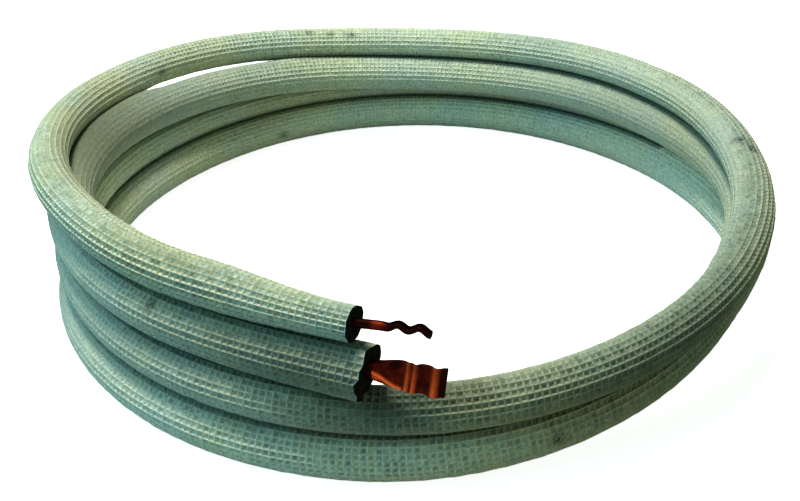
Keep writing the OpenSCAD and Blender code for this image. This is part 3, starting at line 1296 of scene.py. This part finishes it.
@dataclass
class Studio:
    """Camera, lamps, floor and background; the camera's place is in millimetres from the coil's middle."""

    lay: Lay
    camera_back: float = 737.7
    camera_height: float = 453.2
    pitch: float = 31.03
    yaw: float = 0.51
    tilt: float = 1.78
    focal_pixels: float = 913.0
    sensor_width: float = 36.0
    floor_radius: float = 6.0
    floor_sides: int = 64
    ambient: Colour = (0.02, 0.046, 0.062, 1.0)
    white: Colour = (1.0, 1.0, 1.0, 1.0)
    floor_bounce: Colour = (0.30, 0.38, 0.385, 1.0)
    floor_pale: Colour = (0.95, 0.95, 0.95, 1.0)
    floor_glow: Colour = (0.89, 0.89, 0.89, 1.0)
    lamps: tuple[SoftBox, ...] = (
        SoftBox("top_lamp", (-0.35, 0.2, 2.0), 0.45, 35.0, (1.0, 0.97, 0.80)),
        SoftBox("left_lamp", (-1.5, -0.7, 1.2), 0.8, 10.0, (0.26, 0.81, 1.0)),
        SoftBox("high_lamp", (-1.6, 0.3, 1.2), 0.6, 5.0, (0.8, 1.0, 1.0)),
        SoftBox("right_lamp", (1.3, -1.3, 0.6), 0.9, 4.0, (0.9, 0.95, 0.32)),
    )

    def camera(self) -> bpy.types.Object:
        """Stand the camera where the photograph was taken.

        Returns:
            The scene's camera.
        """
        data = bpy.data.cameras.new("camera")
        data.sensor_width = self.sensor_width
        data.lens = self.focal_pixels / PHOTO_WIDTH * data.sensor_width
        camera = bpy.data.objects.new("camera", data)
        pitch, yaw, tilt = (math.radians(a) for a in (self.pitch, self.yaw, self.tilt))
        right = Vector((math.cos(yaw), -math.sin(yaw), 0.0))
        ahead = Vector((math.sin(yaw) * math.cos(pitch), math.cos(yaw) * math.cos(pitch), -math.sin(pitch)))
        up = right.cross(ahead)
        across = math.cos(tilt) * right - math.sin(tilt) * up
        above = math.sin(tilt) * right + math.cos(tilt) * up
        turn = Matrix((across, above, -ahead)).transposed().to_4x4()
        place = Vector((self.lay.middle[0], self.lay.middle[1] - self.camera_back, self.camera_height)) * MM
        camera.matrix_world = Matrix.Translation(place) @ turn
        bpy.context.scene.collection.objects.link(camera)
        bpy.context.scene.camera = camera
        return camera

    def seen_mask(self, kit: NodeKit) -> bpy.types.NodeSocket:
        """Find the rays that show the background: camera, glossy and transmission rays.


        Returns:
            A socket that is 1 for these rays and 0 for the rest.
        """
        path = kit.add("ShaderNodeLightPath")
        mirrored = kit.math("MAXIMUM", path.outputs["Is Glossy Ray"], path.outputs["Is Transmission Ray"])
        return kit.math("MAXIMUM", path.outputs["Is Camera Ray"], mirrored)

    def floor_finish(self) -> bpy.types.Material:
        """Make the floor white where it is seen and dim where it only lights the coil.

        Returns:
            The floor's material, which keeps the coil's shadow.
        """
        made, kit, principled = blank_finish("pale_floor")
        made.node_tree.nodes.remove(principled)
        dim = kit.add("ShaderNodeBsdfDiffuse", Color=self.floor_bounce)
        pale = kit.add("ShaderNodeBsdfDiffuse", Color=self.floor_pale)
        glow = kit.add("ShaderNodeEmission", Color=self.floor_glow, Strength=1.0)
        shown = kit.feed_all(kit.add("ShaderNodeAddShader"), pale.outputs[0], glow.outputs[0])
        either = kit.add("ShaderNodeMixShader")
        kit.feed_all(either, self.seen_mask(kit), dim.outputs[0], shown.outputs[0])
        kit.feed(made.node_tree.nodes["Material Output"].inputs["Surface"], either.outputs[0])
        return made

    def floor(self) -> bpy.types.Object:
        """Lay the plain pale floor.

        Returns:
            The floor's object.
        """
        bm = bmesh.new()
        bmesh.ops.create_circle(bm, cap_ends=True, segments=self.floor_sides, radius=self.floor_radius)
        mesh = bpy.data.meshes.new("floor")
        bm.to_mesh(mesh)
        bm.free()
        floor = bpy.data.objects.new("floor", mesh)
        bpy.context.scene.collection.objects.link(floor)
        mesh.materials.append(self.floor_finish())
        return floor

    def background(self) -> None:
        """Make the background white where it is seen, and a dim even light elsewhere."""
        world = bpy.data.worlds.new("studio")
        world.use_nodes = True
        bpy.context.scene.world = world
        kit = NodeKit(world.node_tree)
        shade = kit.mix(self.seen_mask(kit), self.ambient, self.white)
        kit.feed(world.node_tree.nodes["Background"].inputs["Color"], shade)

    def build(self) -> None:
        """Set up the whole studio."""
        bpy.context.scene.view_settings.view_transform = "Standard"
        self.camera()
        self.floor()
        self.background()
        for lamp in self.lamps:
            lamp.build()


def thin_tube(route: Route) -> CopperTube:
    """Size the thin tube, whose pinched end is waved.

    Args:
        route: The thin line.

    Returns:
        The tube, ready to build.
    """
    return CopperTube("thin_copper_tube", "thin_tube", "copper", route,
                      pinch=21.0, taper=12.0, flat_half=1.85,
                      wave_at=(0.0, 7.2, 14.3, 20.8, 28.0), wave_rise=(-2.5, 1.5, -1.1, 2.0, -0.4),
                      # A faint painted highlight along the round tube, painted shade over the waved pinch,
                      # and painted shadow near the sleeve's mouth.
                      wear_and_light_marks=WearAndLight(fold_wear_and_highlight=0.0, streak_highlight=0.1, pinch_shade=0.3, mouth_shadow_run=13.0))


def thick_tube(route: Route) -> CopperTube:
    """Size the thick tube, whose pinched end has three ridges across it.

    Args:
        route: The thick line.

    Returns:
        The tube, ready to build.
    """
    return CopperTube("thick_copper_tube", "thick_tube", "copper", route,
                      bare=51.0, turn=4.0, roll=60.0, taper=22.0,
                      crimps=(Crimp(6.8, 1.4, 2.2, 1.3), Crimp(20.4, 1.3, 1.5, 1.2),
                              Crimp(24.8, 1.2, 1.4, 0.5)),
                      # Rubbed wear and painted highlights on the fold and ridges, a darker tip, and painted
                      # shadow near the sleeve's mouth.
                      wear_and_light_marks=WearAndLight(tip_darkening=0.6, mouth_shadow_run=5.0))


def thin_sleeve(route: Route) -> FoamSleeve:
    """Size the thin tube's sleeve.

    Args:
        route: The thin line.

    Returns:
        The sleeve, ready to build.
    """
    return FoamSleeve(
        "thin_foam_sleeve", "thin_sleeve", "foam", route,
        rim=RimCut((0.0, 40.0, 80.0, 180.0, 360.0), (1.5, 2.3, 0.4, 0.0, 1.5), ragged=0.2),
        gap_fill=GapFill(0.4),
        # Painted light and shade: below 0 painted shade, such as under the copper ends, above 0 painted
        # light.
        light_and_shade_patches=(Patch(180.0, 75.0, 330.0, 30.0, 0.3), Patch(25.0, 95.0, 120.0, 22.0, 0.12),
               Patch(85.0, 0.0, 120.0, 25.0, -0.3), Patch(364.0, 150.0, 45.0, 26.0, -0.45),
               Patch(357.0, 100.0, 42.0, 17.0, -0.4), Patch(78.0, 125.0, 110.0, 24.0, 0.25),
               Patch(316.0, 125.0, 90.0, 28.0, -0.2), Patch(325.0, 195.0, 150.0, 26.0, -0.6),
               Patch(290.0, 130.0, 170.0, 32.0, -0.1), Patch(462.0, 0.0, 130.0, 30.0, 0.4)),
        smudges=(Patch(272.0, 80.0, 4.5, 7.0, 1.6), Patch(274.8, 105.0, 7.0, 3.5, 1.6),
                 Patch(130.8, 0.0, 5.0, 4.0, 1.3), Patch(163.6, 65.0, 6.0, 3.0, 1.0),
                 Patch(168.0, 55.0, 5.0, 3.0, 1.1), Patch(172.4, 50.0, 7.0, 3.0, 1.0)),
        worn=(Patch(430.0, 180.0, 260.0, 40.0, 0.6), Patch(262.0, 35.0, 170.0, 10.0, 0.6),
              Patch(318.0, 105.0, 330.0, 42.0, -0.5)))


def thick_sleeve(route: Route) -> FoamSleeve:
    """Size the thick tube's sleeve, torn at the front and cut at a slant at the far end.

    Args:
        route: The thick line.

    Returns:
        The sleeve, ready to build.
    """
    return FoamSleeve(
        "thick_foam_sleeve", "thick_sleeve", "foam", route,
        rim=RimCut((0.0, 30.0, 55.0, 85.0, 105.0, 118.0, 133.0, 145.0,
                    157.0, 165.0, 181.0, 200.0, 225.0, 270.0, 315.0, 360.0),
                   (1.0, 2.2, 2.7, 1.0, -0.2, 0.8, 1.7, 0.7, 0.2, -3.0, -1.2, -1.1, -2.5, -3.5, -1.0, 1.0)),
        gap_fill=GapFill(0.68), rows=25, seed=8, far_slant=9.0,
        # Painted light and shade: below 0 painted shade, such as under the thin line and at the torn front
        # end, above 0 painted light.
        light_and_shade_patches=(Patch(102.0, 90.0, 170.0, 40.0, -0.68), Patch(28.0, 185.0, 190.0, 32.0, -0.2),
               Patch(62.0, 150.0, 130.0, 38.0, 0.3), Patch(10.0, 170.0, 60.0, 34.0, -0.42),
               Patch(316.0, 180.0, 150.0, 44.0, -0.5), Patch(248.0, 40.0, 190.0, 26.0, -0.25),
               Patch(185.0, 35.0, 200.0, 24.0, 0.2), Patch(395.0, 195.0, 170.0, 32.0, 0.3),
               Patch(360.0, 195.0, 90.0, 32.0, 0.3), Patch(545.0, 40.0, 330.0, 36.0, 0.35),
               Patch(615.0, 20.0, 120.0, 40.0, 0.35), Patch(470.0, 40.0, 120.0, 36.0, 0.3)),
        smudges=(Patch(514.4, 350.0, 7.0, 4.0, 1.2), Patch(339.2, 170.0, 5.0, 5.0, 1.2),
                 Patch(38.4, 130.0, 3.0, 8.0, 1.1)),
        worn=(Patch(78.0, 175.0, 210.0, 45.0, 0.7), Patch(440.0, 170.0, 230.0, 45.0, 0.6),
              Patch(250.0, 10.0, 180.0, 40.0, 0.5), Patch(110.0, 20.0, 140.0, 40.0, 0.4)))


def main() -> None:
    """Build the studio and the four pieces."""
    logging.basicConfig(level=logging.INFO, format="%(name)s: %(message)s")
    lay = Lay()
    Studio(lay).build()
    thin, thick = lay.route(Line.THIN), lay.route(Line.THICK)
    foam, cut, copper = FoamFinish().material(), CutFoamFinish().material(), CopperFinish().material()
    for tube in (thin_tube(thin), thick_tube(thick)):
        tube.build(copper)
    for sleeve in (thin_sleeve(thin), thick_sleeve(thick)):
        sleeve.build([foam, cut])


if __name__ == "__main__":
    main()
